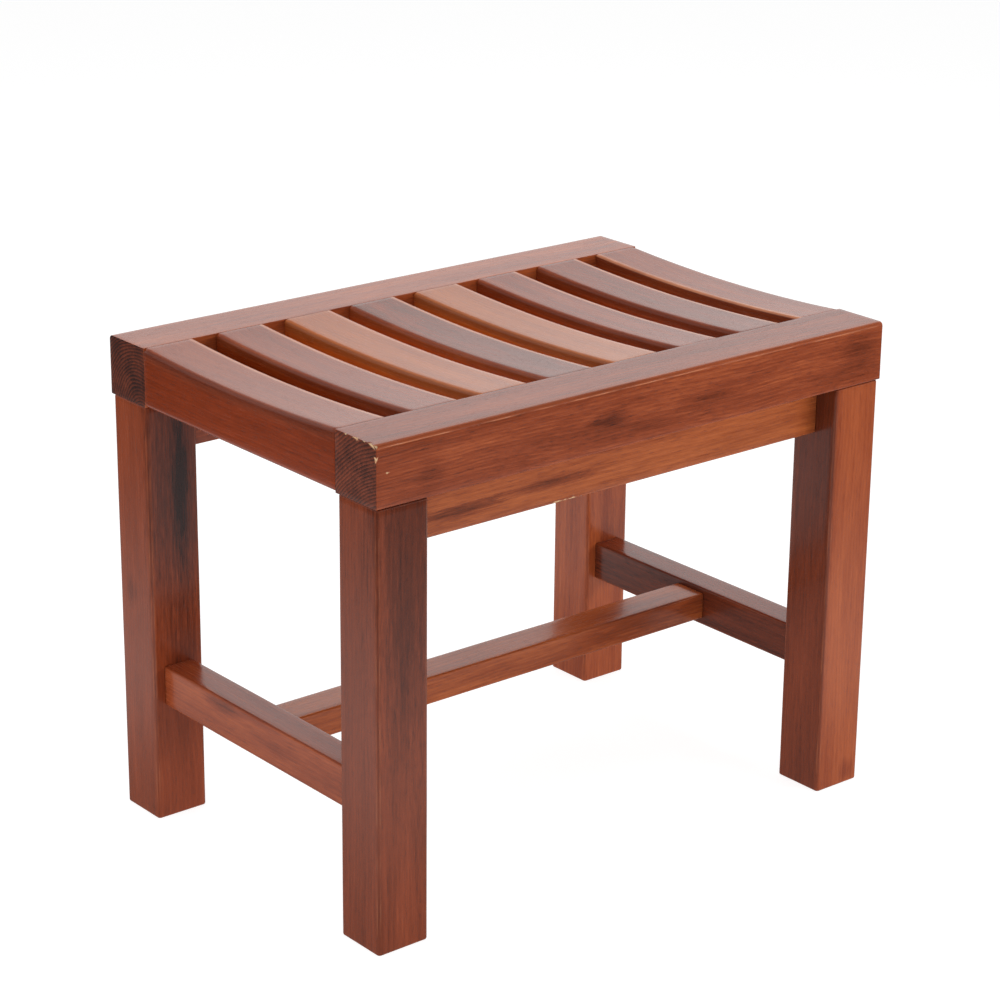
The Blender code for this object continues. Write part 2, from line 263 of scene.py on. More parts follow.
TIMBERS = {
    "rail_front": Timber(
        slope=(0.0, 0.03), pith=(-0.060, -0.075), end_stain=0.20, rubbed=1.7,
        stains_and_shade=(
            ((-0.034, -0.170, 0.371), (0.022, 0.012, 0.008), 0.34),
            ((0.225, -0.170, 0.376), (0.024, 0.012, 0.014), 0.20),
            ((0.064, -0.170, 0.369), (0.030, 0.010, 0.007), 0.16),
            ((-0.203, -0.170, 0.364), (0.016, 0.012, 0.014), 0.16),
        ),
    ),
    "rail_rear": Timber(tone=0.14, pith=(-0.020, -0.034), end_stain=0.48),
    "end_slat_left": Timber(tone=0.06, faces=(-0.24, 0.0), figure=0.6, pith=(0.03, -0.09), rubbed=0.0),
    "seat_slat_1": Timber(tone=0.0, faces=(0.10, 0.0), figure=0.7, pith=(-0.04, -0.08), rubbed=0.0),
    "seat_slat_2": Timber(
        tone=0.26, faces=(0.08, 0.0), tint=(1.0, 1.15, 1.0), figure=0.7, pith=(0.06, -0.05), rubbed=0.0,
    ),
    "seat_slat_3": Timber(tone=-0.15, faces=(0.38, 0.0), figure=0.8, pith=(-0.02, -0.11), rubbed=0.0),
    "seat_slat_4": Timber(
        tone=0.28, faces=(0.06, 0.0), tint=(1.0, 1.2, 1.15), figure=0.7, pith=(0.04, -0.07), rubbed=0.0,
    ),
    "seat_slat_5": Timber(figure=0.8, pith=(-0.05, -0.06), rubbed=0.0),
    "seat_slat_6": Timber(tone=-0.06, figure=0.8, pith=(0.02, -0.08), rubbed=0.0),
    "end_slat_right": Timber(tone=0.03, figure=0.7, pith=(-0.03, -0.07), rubbed=0.0),
    "leg_front_left": Timber(
        tone=-0.10, faces=(-0.06, 0.01), figure=0.6, pith=(0.08, -0.05),
        stains_and_shade=(((-0.222, -0.172, 0.320), (0.040, 0.024, 0.190), 0.27),),
    ),
    "leg_front_right": Timber(
        faces=(-0.16, 0.13), figure=0.6, pith=(0.05, 0.08),
        stains_and_shade=(
            ((0.2365, -0.169, 0.011), (0.010, 0.010, 0.012), 0.20),
            # painted shade under the seat, high on the leg's inner face
            ((0.203, -0.146, 0.310), (0.010, 0.040, 0.180), 0.16),
        ),
    ),
    "leg_rear_left": Timber(
        faces=(-0.08, -0.03), figure=0.6, pith=(-0.07, -0.04),
        stains_and_shade=(
            # painted shade under the seat, high on the leg's front face: this patch and the next
            ((-0.220, 0.123, 0.290), (0.034, 0.015, 0.190), 0.36),
            ((-0.220, 0.123, 0.280), (0.009, 0.015, 0.080), 0.30),
            ((-0.249, 0.152, 0.189), (0.010, 0.008, 0.014), 0.16),
        ),
    ),
    "leg_rear_right": Timber(tone=0.10, figure=0.8, pith=(0.04, 0.07)),
    "apron_front": Timber(
        tone=0.19, tint=(1.0, 1.08, 1.0), pith=(0.05, -0.05),
        stains_and_shade=(
            ((-0.155, -0.1475, 0.3215), (0.046, 0.010, 0.0060), 0.44),
            ((-0.072, -0.1475, 0.3235), (0.056, 0.010, 0.0055), 0.36),
        ),
    ),
    "apron_rear": Timber(tone=-0.05, pith=(0.03, -0.06)),
    "side_stretcher_left": Timber(
        tone=0.02, faces=(0.03, 0.0), figure=0.8, pith=(0.04, -0.03),
        stains_and_shade=(
            ((-0.2395, 0.043, 0.124), (0.010, 0.028, 0.006), 0.30),
            ((-0.2395, -0.030, 0.115), (0.010, 0.034, 0.006), 0.14),
        ),
    ),
    "side_stretcher_right": Timber(tone=-0.06, faces=(-0.27, 0.0), figure=0.8, pith=(0.05, -0.04)),
    "centre_stretcher": Timber(
        tone=0.26, faces=(0.0, -0.14), tint=(1.0, 1.08, 1.0), figure=0.9, pith=(0.02, 0.05),
        stains_and_shade=(((0.150, -0.0100, 0.118), (0.080, 0.020, 0.018), 0.24),),
    ),
}
PIECE_ORDER = list(TIMBERS)


# Modelling

CHIP_CELLS = (0.003, 0.0015, 0.0008)  # how finely the mesh is cut about a chip, step by step
CHIP_RAGGED = 0.9
RAIL_CHIPS = (
    ((-0.2497, -0.1690, 0.3942), (0.0022, 0.0026, 0.0016), 0.0007),
    ((-0.2498, -0.1625, 0.3945), (0.0012, 0.0022, 0.0008), 0.0004),
    ((-0.2498, -0.1555, 0.3946), (0.0010, 0.0014, 0.0007), 0.0003),
    ((-0.2498, -0.1455, 0.3946), (0.0010, 0.0026, 0.0007), 0.0003),
    ((-0.2498, -0.1345, 0.3946), (0.0010, 0.0016, 0.0007), 0.0003),
    ((-0.2497, -0.1695, 0.3850), (0.0008, 0.0008, 0.0020), 0.0003),
    ((-0.2400, -0.1700, 0.3734), (0.0016, 0.0010, 0.0005), 0.0004),
)
APRON_CHIPS = (
    ((-0.0640, -0.1475, 0.3070), (0.0080, 0.0016, 0.0012), 0.0006),
    ((-0.0510, -0.1475, 0.3068), (0.0090, 0.0018, 0.0010), 0.0006),
)


def edges_along(bm, axis):
    """The edges that run along one axis: 0 for X, 1 for Y, 2 for Z."""
    found = []
    for edge in bm.edges:
        way = (edge.verts[1].co - edge.verts[0].co).normalized()
        if abs(way[axis]) > 0.9:
            found.append(edge)
    return found


def corner_edges(bm):
    return [edge for edge in bm.edges if edge.calc_face_angle(0.0) > radians(45)]


def ease(bm, edges, radius, segments):
    """Round the given edges over."""
    bmesh.ops.bevel(
        bm,
        geom=edges,
        offset=radius,
        offset_type="OFFSET",
        segments=segments,
        profile=0.5,
        affect="EDGES",
        clamp_overlap=True,
        material=-1,
    )


def bar(size, axis, radii, end_radius):
    """A bar about the origin that runs along an axis, with a fine grid on its faces.

    radii is one radius for all four long edges, or a function of an edge's middle that gives it.
    """
    sizes = bpy.context.scene.stool_sizes
    bm = bmesh.new()
    bmesh.ops.create_cube(bm, size=1.0, matrix=Matrix.Diagonal((*size, 1.0)))
    radius_at = radii if callable(radii) else lambda middle: radii
    groups = {}
    for edge in edges_along(bm, axis):
        middle = (edge.verts[0].co + edge.verts[1].co) / 2
        groups.setdefault(radius_at(middle), []).append(edge)
    for radius, edges in groups.items():
        ease(bm, edges, radius, sizes.ease_segments)
    ease(bm, corner_edges(bm), end_radius, max(2, sizes.ease_segments // 2))
    for way in range(3):
        long_enough = [edge for edge in edges_along(bm, way) if edge.calc_length() > size[way] / 2]
        cuts = max(1, round(size[way] / sizes.mesh_cell) - 1)
        bmesh.ops.subdivide_edges(bm, edges=long_enough, cuts=cuts, use_grid_fill=True)
    return bm


def rounding_layer(bm, size, radius):
    """Note how deep each point lies in a rounded edge: 0 on a flat face, 1 half way round."""
    layer = bm.verts.layers.float.new("rounding")
    deepest = radius * (1 - sqrt(0.5))
    for vert in bm.verts:
        inset = min(size[way] / 2 - abs(vert.co[way]) for way in range(3))
        vert[layer] = min(1.0, max(0.0, inset / deepest))


def sand(bm, seed):
    """Let the faces wander a little below flat, as hand sanding leaves them."""
    depth = bpy.context.scene.stool_sizes.sanding
    wave = Vector((14.0, 14.0, 14.0))
    start = Vector((seed * 3.7, seed * 1.3, seed * 2.1))
    bm.normal_update()
    moves = []
    for vert in bm.verts:
        swell = 0.5 + 0.5 * noise.noise(vert.co * wave + start)
        moves.append(vert.normal * -depth * min(1.0, max(0.0, swell)))
    for vert, move in zip(bm.verts, moves):
        vert.co += move


def chip(bm, centre, spots):
    """Knock chips out of a piece that is still about the origin, and note the bare wood inside.

    Each spot is (place on the stool, half sizes, depth).
    """
    bare = bm.verts.layers.float.new("bare")
    for spot, half_sizes, depth in spots:
        middle = Vector(spot) - centre
        shape = Matrix.Diagonal([1 / half for half in half_sizes])
        reach = max(half_sizes)
        for cell in CHIP_CELLS:
            near = []
            for edge in bm.edges:
                away = ((edge.verts[0].co + edge.verts[1].co) / 2 - middle).length
                if away < reach + edge.calc_length() and edge.calc_length() > cell:
                    near.append(edge)
            bmesh.ops.subdivide_edges(bm, edges=near, cuts=1, use_grid_fill=True)
        bm.normal_update()
        moves = []
        for vert in bm.verts:
            away = (shape @ (vert.co - middle)).length
            if away < 1.6:
                away += CHIP_RAGGED * noise.noise(vert.co / reach * 3.1 + middle * 100)
                inside = min(1.0, max(0.0, 1.5 * (1 - away)))
                moves.append((vert, vert.normal * -depth * inside, inside))
        for vert, move, inside in moves:
            vert.co += move
            vert[bare] = max(vert[bare], inside)


def finish_piece(name, bm, centre, replaced):
    """Make the object of a finished bmesh, with its place in its mesh."""
    bm.transform(Matrix.Translation(centre))
    bmesh.ops.recalc_face_normals(bm, faces=bm.faces[:])
    mesh = bpy.data.meshes.new(name)
    bm.to_mesh(mesh)
    bm.free()
    mesh.shade_smooth()
    mesh.set_sharp_from_angle(angle=radians(50))
    piece = bpy.data.objects.new(name, mesh)
    bpy.context.scene.collection.objects.link(piece)
    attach(piece, BODY)
    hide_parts(replaced)
    return piece


def between_rails():
    """Where the rails' inner faces stand along Y."""
    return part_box("rail_front")[1].y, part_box("rail_rear")[0].y


def build_rail(side):
    sizes = bpy.context.scene.stool_sizes
    node = "rail_" + side
    low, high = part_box(node)
    size = high - low
    outward = -1 if side == "front" else 1

    def radius_at(middle):
        if middle.y * outward < 0:
            return sizes.rail_inner_ease
        return sizes.rail_outer_ease if middle.z > 0 else sizes.rail_lower_ease

    bm = bar(size, 0, radius_at, sizes.rail_end_ease)
    if side == "front":
        chip(bm, (low + high) / 2, RAIL_CHIPS)
    rounding_layer(bm, size, sizes.rail_outer_ease)
    inward = bm.verts.layers.float.new("inward")
    for vert in bm.verts:
        vert[inward] = size.y / 2 - vert.co.y * outward
    sand(bm, PIECE_ORDER.index(node))
    piece = finish_piece(node + "_board", bm, (low + high) / 2, node)
    piece.data.materials.append(stained_wood(node, 0, (low + high) / 2))


def dish_drop(y, half_span, depth):
    """How far below the rails a slat's top lies: an arc that is level with them at both ends."""
    radius = (half_span**2 + depth**2) / (2 * depth)
    return sqrt(max(0.0, radius**2 - y**2)) - (radius - depth)


def build_slat(node):
    sizes = bpy.context.scene.stool_sizes
    low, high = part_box(node)
    low.y, high.y = between_rails()
    low.y += sizes.joint_gap
    high.y -= sizes.joint_gap
    size = high - low
    soft_side = 1 if node == "end_slat_right" else -1

    def radius_at(middle):
        return sizes.slat_soft_ease if middle.x * soft_side > 0 else sizes.slat_crisp_ease

    bm = bar(size, 1, radius_at, sizes.joint_ease)
    rounding_layer(bm, size, sizes.slat_soft_ease)
    depth = bm.verts.layers.float.new("depth")
    inward = bm.verts.layers.float.new("inward")
    for vert in bm.verts:
        vert[depth] = size.z / 2 - vert.co.z
        vert[inward] = size.x / 2 + vert.co.x * soft_side
    for vert in bm.verts:
        share = max(0.0, min(1.0, vert.co.z / (size.z / 2)))
        drop = dish_drop(vert.co.y, size.y / 2, sizes.slat_dish)
        vert.co.z -= drop * min(1.0, share * 2)
    sand(bm, PIECE_ORDER.index(node))
    piece = finish_piece(node + "_board", bm, (low + high) / 2, node)
    piece.data.materials.append(stained_wood(node, 1, (low + high) / 2))


def build_leg(side, end):
    sizes = bpy.context.scene.stool_sizes
    node = f"leg_{side}_{end}"
    low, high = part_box(node)
    size = high - low
    bm = bar(size, 2, sizes.leg_ease, sizes.leg_end_ease)
    rounding_layer(bm, size, sizes.leg_ease)
    sand(bm, PIECE_ORDER.index(node))
    piece = finish_piece(node + "_post", bm, (low + high) / 2, node)
    piece.data.materials.append(stained_wood(node, 2, (low + high) / 2))


def build_bar(node, axis, low, high):
    """An apron or a stretcher, between the two pieces that it joins."""
    sizes = bpy.context.scene.stool_sizes
    size = high - low
    bm = bar(size, axis, sizes.bar_ease, sizes.joint_ease)
    if node == "apron_front":
        chip(bm, (low + high) / 2, APRON_CHIPS)
    rounding_layer(bm, size, sizes.bar_ease)
    sand(bm, PIECE_ORDER.index(node))
    piece = finish_piece(node + "_bar", bm, (low + high) / 2, node)
    piece.data.materials.append(stained_wood(node, axis, (low + high) / 2))


# The wood


def unit(axis):
    return tuple(1.0 if way == axis else 0.0 for way in range(3))


def new_node(tree, kind, label="", **settings):
    node = tree.nodes.new(kind)
    node.label = label
    for key, value in settings.items():
        setattr(node, key, value)
    return node


def connect(tree, value, socket):
    """Feed a socket from another socket, or set it to a number or a colour."""
    if isinstance(value, bpy.types.NodeSocket):
        tree.links.new(value, socket)
    else:
        socket.default_value = value


def maths(tree, operation, *values):
    """A Math node with each value a number or a socket, and its result."""
    node = new_node(tree, "ShaderNodeMath", operation=operation)
    for socket, value in zip(node.inputs, values):
        connect(tree, value, socket)
    return node.outputs[0]


def vector_maths(tree, operation, *values):
    node = new_node(tree, "ShaderNodeVectorMath", operation=operation)
    for socket, value in zip(node.inputs, values):
        connect(tree, value, socket)
    return node.outputs["Value" if operation in ("LENGTH", "DOT_PRODUCT") else "Vector"]


def product(tree, first, *values):
    for value in values:
        first = maths(tree, "MULTIPLY", first, value)
    return first


def part_along(tree, vector, axis):
    """A vector's part along one axis: 0 for X, 1 for Y, 2 for Z."""
    return vector_maths(tree, "DOT_PRODUCT", vector, unit(axis))


def facing(tree, normal, axis):
    """How squarely a surface faces along an axis, whichever way."""
    return maths(tree, "ABSOLUTE", part_along(tree, normal, axis))


def attribute(tree, name):
    return new_node(tree, "ShaderNodeAttribute", attribute_name=name).outputs["Fac"]


def spread(tree, value, low, high, to_low=0.0, to_high=1.0):
    """Map a range of values to another, with soft ends."""
    node = new_node(tree, "ShaderNodeMapRange", interpolation_type="SMOOTHSTEP")
    for socket, number in zip(node.inputs, (value, low, high, to_low, to_high)):
        connect(tree, number, socket)
    return node.outputs["Result"]


def blend_colours(tree, share, first, second, blend="MIX"):
    node = new_node(tree, "ShaderNodeMixRGB", blend_type=blend)
    for socket, value in zip(node.inputs, (share, first, second)):
        connect(tree, value, socket)
    return node.outputs[0]


def grain_noise(tree, vector, along, across, detail=2.0, roughness=0.5):
    """Noise drawn out along the grain: along and across are the sizes of its marks, in metres."""
    stretched = vector_maths(tree, "MULTIPLY", vector, (1 / along, 1 / across, 1 / across))
    node = new_node(tree, "ShaderNodeTexNoise")
    settings = {"Vector": stretched, "Scale": 1.0, "Detail": detail, "Roughness": roughness}
    for name, value in settings.items():
        connect(tree, value, node.inputs[name])
    return node.outputs["Fac"]


def off_middle(tree, value, strength, base, middle=0.5):
    """Add to a base how far a pattern is from its middle value, times a strength."""
    return maths(tree, "MULTIPLY_ADD", maths(tree, "SUBTRACT", value, middle), strength, base)


GRAIN_TURNS = {0: (0, 0, 0), 1: (0, 0, radians(-90)), 2: (0, radians(90), 0)}
RING_SPACING = 0.0026
RING_WANDER = 0.007
RING_WANDER_MARKS = (0.4, 0.035)
SWAY_LENGTH = 0.13  # the grain's gentle waves along a board
SWAY_ACROSS = (0.05, 0.07)
SWAY_DEPTH = 0.007
SEED_STEP = 1.37  # how far apart along one endless log the pieces are cut
MAIN_TONE = 0.60
TONE_STOPS = ((0.0, "heart"), (0.30, "latewood"), (0.60, "stained"), (1.0, "earlywood"))

# The timber's marks: how long and how wide they are, and how far they lighten or darken the tone
BROAD_MARKS = (0.150, 0.014)
BROAD_TONE = 0.55
STREAK_MARKS = (0.060, 0.0022)
STREAK_TONE = 0.50
FIBRE_MARKS = (0.016, 0.00075)
FIBRE_TONE = 0.42
PORE_MARKS = (0.0085, 0.00055)
PORE_RANGE = (0.58, 0.70)  # where in that pattern's range the pores lie
PORE_TONE = -0.19
RING_TONE = -0.07
END_RING_TONE = -0.20
STAIN_EDGE_MARKS = (0.022, 0.0016)

# Rims of the tops, by how far in from the rim's side face
RIM_MARKS = (0.05, 0.02)
RAIL_RIM_REACH = (0.0070, 0.0050)
RAIL_RIM_WEAR = 0.30
# On the slats the rim is a painted highlight
SLAT_RIM_REACH = (0.0058, 0.0034)
SLAT_RIM_HIGHLIGHT = 1.0

# The slats' sides in the gaps, by how far below the rim: painted warm bounce light deep down, painted
# shade just under the rim
PAINTED_BOUNCE_DEPTHS = (0.004, 0.013)
PAINTED_BOUNCE_TINT = (1.12, 0.80, 0.36, 1.0)
PAINTED_SHADE_DEPTHS = (0.0090, 0.0035)
PAINTED_SHADE_SHARE = 0.42

# Arrises, by how far round: 0 on a flat face, 1 half way round
POOLED_ROUND = (0.25, 0.95)
POOLED_SHARE = 0.18
RUBBED_FROM = (0.02, 0.12)
RUBBED_TO = (0.6, 0.3)
RUBBED_MARKS = (0.030, 0.012)

BUMP_STRENGTH = 0.25
BUMP_DEPTH = 0.00012


def into_grain(point, axis):
    """A point, from the stool's axes to axes with X along the grain."""
    x, y, z = point
    return Vector({0: (x, y, z), 1: (y, -x, z), 2: (z, y, -x)}[axis])


def board_places(tree, place, piece, axis, centre):
    """Coordinates with X along the board: square to its faces, and following its swaying grain."""
    mapping = new_node(tree, "ShaderNodeMapping", "from the stool to the board's grain")
    mapping.inputs["Rotation"].default_value = GRAIN_TURNS[axis]
    mapping.inputs["Location"].default_value = -into_grain(centre, axis)
    tree.links.new(place.outputs["Object"], mapping.inputs["Vector"])
    slant = new_node(tree, "ShaderNodeMapping", "the grain's slope across the board")
    slant.inputs["Rotation"].default_value = (0, *TIMBERS[piece].slope)
    slant.inputs["Location"].default_value = (SEED_STEP * (PIECE_ORDER.index(piece) + 1), 0, 0)
    tree.links.new(mapping.outputs[0], slant.inputs["Vector"])
    sway = new_node(tree, "ShaderNodeCombineXYZ")
    for socket, across in zip(sway.inputs[1:], SWAY_ACROSS):
        wave = grain_noise(tree, slant.outputs[0], SWAY_LENGTH, across, detail=1.0)
        tree.links.new(off_middle(tree, wave, SWAY_DEPTH, 0.0), socket)
    return mapping.outputs[0], vector_maths(tree, "ADD", slant.outputs[0], sway.outputs[0])


def growth_rings(tree, grain, pith):
    """Rings round the pith line, each pale at first and dark where it ends."""
    from_pith = vector_maths(tree, "SUBTRACT", grain, (0, *pith))
    distance = vector_maths(tree, "LENGTH", vector_maths(tree, "MULTIPLY", from_pith, (0, 1, 1)))
    wander = grain_noise(tree, grain, *RING_WANDER_MARKS, detail=1.0)
    distance = off_middle(tree, wander, RING_WANDER, distance)
    ring = maths(tree, "FRACT", maths(tree, "DIVIDE", distance, RING_SPACING))
    return maths(tree, "MULTIPLY", spread(tree, ring, 0.1, 0.85), spread(tree, ring, 1.0, 0.87))


def stain_and_shade_marks(tree, board, grain, axis, centre, marks):
    """Ragged dark patches, drawn out along the grain."""
    ragged = grain_noise(tree, grain, *STAIN_EDGE_MARKS, detail=3.0, roughness=0.7)
    total = None
    for spot, half_sizes, strength in marks:
        middle = into_grain(Vector(spot) - centre, axis)
        shape = tuple(1 / abs(half) for half in into_grain(half_sizes, axis))
        away = vector_maths(tree, "MULTIPLY", vector_maths(tree, "SUBTRACT", board, middle), shape)
        reach = off_middle(tree, ragged, 1.5, vector_maths(tree, "LENGTH", away))
        total = maths(tree, "MULTIPLY_ADD", spread(tree, reach, 1.25, 0.1), strength, total or 0.0)
    return total or 0.0


def rims_and_sides(tree, piece, colour, board, normal):
    """Thin stain along the rails' rims, a painted highlight along the slats' rims, and painted shade and
    warm bounce light on the slats' sides in the gaps.
    """
    colours = bpy.context.scene.stool_colours
    inward = attribute(tree, "inward")
    upward = spread(tree, part_along(tree, normal, 2), 0.3, 0.6)
    patchy = spread(tree, grain_noise(tree, board, *RIM_MARKS), 0.25, 0.75, 0.6, 1.1)
    if piece not in SLATS:
        rim = product(tree, spread(tree, inward, *RAIL_RIM_REACH), RAIL_RIM_WEAR, upward, patchy)
        return blend_colours(tree, rim, colour, (*colours.earlywood, 1.0))
    depth = attribute(tree, "depth")
    sides = spread(tree, facing(tree, normal, 0), 0.5, 0.95)
    # painted bounce light: the sides are tinted redder the deeper they lie in the gaps
    painted_bounce = product(tree, sides, spread(tree, depth, *PAINTED_BOUNCE_DEPTHS))
    colour = blend_colours(tree, painted_bounce, colour, PAINTED_BOUNCE_TINT, "MULTIPLY")
    # painted shade: the sides darken just under the rim, in the gaps between slats
    dark = product(tree, sides, spread(tree, depth, *PAINTED_SHADE_DEPTHS, 0.0, PAINTED_SHADE_SHARE))
    colour = blend_colours(tree, dark, colour, (*colours.pooled_stain_and_shade, 1.0))
    # painted highlight: a pale line along each slat's crisp rim
    rim = product(tree, spread(tree, inward, *SLAT_RIM_REACH), SLAT_RIM_HIGHLIGHT, upward, patchy)
    return blend_colours(tree, rim, colour, (*colours.rim, 1.0))


def arrises(tree, piece, colour, board, normal):
    """Stain that pools half way round an arris, and is rubbed thin beside it."""
    colours = bpy.context.scene.stool_colours
    rounding = attribute(tree, "rounding")
    pooled_stain_and_shade = product(tree, spread(tree, rounding, *POOLED_ROUND), POOLED_SHARE)
    colour = blend_colours(tree, pooled_stain_and_shade, colour, (*colours.pooled_stain_and_shade, 1.0))
    beside = product(tree, spread(tree, rounding, *RUBBED_FROM), spread(tree, rounding, *RUBBED_TO))
    sideways = spread(tree, part_along(tree, normal, 2), 0.5, 0.2)
    rubbed = spread(tree, grain_noise(tree, board, *RUBBED_MARKS, detail=3.0), 0.35, 0.70, 0.05, 0.8)
    rubbed = product(tree, rubbed, TIMBERS[piece].rubbed)
    if piece in RAILS:
        rubbed = product(tree, rubbed, spread(tree, part_along(tree, board, 2), -0.005, 0.005))
    rubbed = product(tree, rubbed, product(tree, beside, sideways))
    return blend_colours(tree, rubbed, colour, (*colours.worn, 1.0))


def stained_wood(piece, axis, centre):
    """The stained and lacquered timber of one piece, whose grain runs along an axis."""
    colours = bpy.context.scene.stool_colours
    timber = TIMBERS[piece]
    made = bpy.data.materials.new(piece + "_wood")
    made.use_nodes = True
    tree = made.node_tree
    shader = tree.nodes["Principled BSDF"]
    place = new_node(tree, "ShaderNodeTexCoord")
    normal = place.outputs["Normal"]
    board, grain = board_places(tree, place, piece, axis, centre)

    # Tone of the figure: 0 is heartwood and 1 is the palest earlywood
    ring = growth_rings(tree, grain, timber.pith)
    broad = grain_noise(tree, grain, *BROAD_MARKS)
    streak = grain_noise(tree, grain, *STREAK_MARKS, detail=3.0, roughness=0.7)
    fibre = grain_noise(tree, grain, *FIBRE_MARKS, roughness=0.6)
    pores = spread(tree, grain_noise(tree, grain, *PORE_MARKS, detail=1.0), *PORE_RANGE)
    tone = off_middle(tree, broad, BROAD_TONE * timber.figure, MAIN_TONE + timber.tone)
    tone = off_middle(tree, ring, RING_TONE * timber.figure, tone, middle=0.35)
    tone = off_middle(tree, streak, STREAK_TONE * timber.figure, tone)
    tone = off_middle(tree, fibre, FIBRE_TONE * timber.figure, tone)
    tone = maths(tree, "MULTIPLY_ADD", pores, PORE_TONE * timber.figure, tone)
    for way, change in enumerate(timber.faces):
        if change:
            tone = maths(tree, "MULTIPLY_ADD", facing(tree, normal, way), change, tone)
    # dark patches: stains, and high on two legs under the seat painted shade
    stains_and_shade = stain_and_shade_marks(tree, board, grain, axis, centre, timber.stains_and_shade)
    tone = maths(tree, "SUBTRACT", tone, stains_and_shade)

    # End grain drinks more stain, and shows the rings
    end_grain = spread(tree, facing(tree, normal, axis), 0.75, 0.97)
    tone = maths(tree, "MULTIPLY_ADD", end_grain, -timber.end_stain, tone)
    tone = maths(tree, "MULTIPLY_ADD", product(tree, end_grain, ring), END_RING_TONE, tone)

    ramp = new_node(tree, "ShaderNodeValToRGB", "stain")
    stops = ramp.color_ramp.elements
    while len(stops) < len(TONE_STOPS):
        stops.new(0.5)
    for stop, (position, key) in zip(stops, TONE_STOPS):
        stop.position = position
        stop.color = (*getattr(colours, key), 1.0)
    tree.links.new(tone, ramp.inputs["Fac"])
    colour = blend_colours(tree, 1.0, ramp.outputs["Color"], (*timber.tint, 1.0), "MULTIPLY")
    if piece in RAILS or piece in SLATS:
        colour = rims_and_sides(tree, piece, colour, board, normal)
    colour = arrises(tree, piece, colour, board, normal)
    bare = attribute(tree, "bare")
    colour = blend_colours(tree, spread(tree, bare, 0.1, 0.7), colour, (*colours.bare, 1.0))
    tree.links.new(colour, shader.inputs["Base Color"])

    # Satin lacquer, duller in the pores, on end grain and where it is chipped
    rough = off_middle(tree, streak, 0.16, colours.sheen_roughness)
    for duller, amount in ((pores, 0.06), (end_grain, 0.16), (bare, 0.4)):
        rough = maths(tree, "MULTIPLY_ADD", duller, amount, rough)
    tree.links.new(rough, shader.inputs["Roughness"])
    shader.inputs["Coat Weight"].default_value = colours.gloss
    shader.inputs["Coat Roughness"].default_value = colours.gloss_roughness
    height = maths(tree, "MULTIPLY_ADD", pores, -0.7, product(tree, fibre, 0.5))
    bump = new_node(tree, "ShaderNodeBump")
    bump.inputs["Strength"].default_value = BUMP_STRENGTH
    bump.inputs["Distance"].default_value = BUMP_DEPTH
    tree.links.new(height, bump.inputs["Height"])
    tree.links.new(bump.outputs[0], shader.inputs["Normal"])
    return made


def bare_wood():
    """Turned dowels: pale hardwood with fine pores, no stain."""
    colours = bpy.context.scene.stool_colours
    made = bpy.data.materials.new("dowel_wood")
    made.use_nodes = True
    tree = made.node_tree
    shader = tree.nodes["Principled BSDF"]
    place = new_node(tree, "ShaderNodeTexCoord")
    streak = grain_noise(tree, place.outputs["Object"], 0.0012, 0.0012, detail=3.0)
    ramp = new_node(tree, "ShaderNodeValToRGB", "bare wood")
    ramp.color_ramp.elements[0].position = 0.30
    ramp.color_ramp.elements[0].color = (*(0.6 * part for part in colours.bare), 1.0)
    ramp.color_ramp.elements[1].position = 0.70
    ramp.color_ramp.elements[1].color = (*colours.bare, 1.0)
    tree.links.new(streak, ramp.inputs["Fac"])
    tree.links.new(ramp.outputs["Color"], shader.inputs["Base Color"])
    tree.links.new(spread(tree, streak, 0.2, 0.8, 0.55, 0.75), shader.inputs["Roughness"])
    bump = new_node(tree, "ShaderNodeBump")
    bump.inputs["Strength"].default_value = 0.3
    bump.inputs["Distance"].default_value = 0.0001
    tree.links.new(streak, bump.inputs["Height"])
    tree.links.new(bump.outputs[0], shader.inputs["Normal"])
    return made


# Operators


class STOOL_OT_rails(bpy.types.Operator):
    """Model the two seat rails"""

    bl_idname = "stool.rails"
    bl_label = "Rails"

    def execute(self, context):
        for side in SIDES:
            build_rail(side)
        return {"FINISHED"}


class STOOL_OT_slats(bpy.types.Operator):
    """Model the dished seat slats"""

    bl_idname = "stool.slats"
    bl_label = "Seat slats"

    def execute(self, context):
        for node in SLATS:
            build_slat(node)
        return {"FINISHED"}


class STOOL_OT_legs(bpy.types.Operator):
    """Model the four square legs"""

    bl_idname = "stool.legs"
    bl_label = "Legs"

    def execute(self, context):
        for side in SIDES:
            for end in ENDS:
                build_leg(side, end)
        return {"FINISHED"}


class STOOL_OT_aprons(bpy.types.Operator):
    """Model the apron under each rail"""

    bl_idname = "stool.aprons"
    bl_label = "Aprons"

    def execute(self, context):
        for side in SIDES:
            node = "apron_" + side
            build_bar(node, 0, *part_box(node))
        return {"FINISHED"}


class STOOL_OT_stretchers(bpy.types.Operator):
    """Model the H of stretchers between the legs"""

    bl_idname = "stool.stretchers"
    bl_label = "Stretchers"

    def execute(self, context):
        gap = context.scene.stool_sizes.joint_gap
        for end in ENDS:
            node = "side_stretcher_" + end
            low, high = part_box(node)
            low.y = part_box("leg_front_" + end)[1].y + gap
            high.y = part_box("leg_rear_" + end)[0].y - gap
            build_bar(node, 1, low, high)
        low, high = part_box("centre_stretcher")
        low.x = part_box("side_stretcher_left")[1].x + gap
        high.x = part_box("side_stretcher_right")[0].x - gap
        build_bar("centre_stretcher", 0, low, high)
        return {"FINISHED"}


class STOOL_OT_dowels(bpy.types.Operator):
    """Finish the dowels inside the joints"""

    bl_idname = "stool.dowels"
    bl_label = "Dowels"

    def execute(self, context):
        wood = bare_wood()
        for name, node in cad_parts.items():
            if "dowel" in name:
                node.data.materials.clear()
                node.data.materials.append(wood)
        return {"FINISHED"}


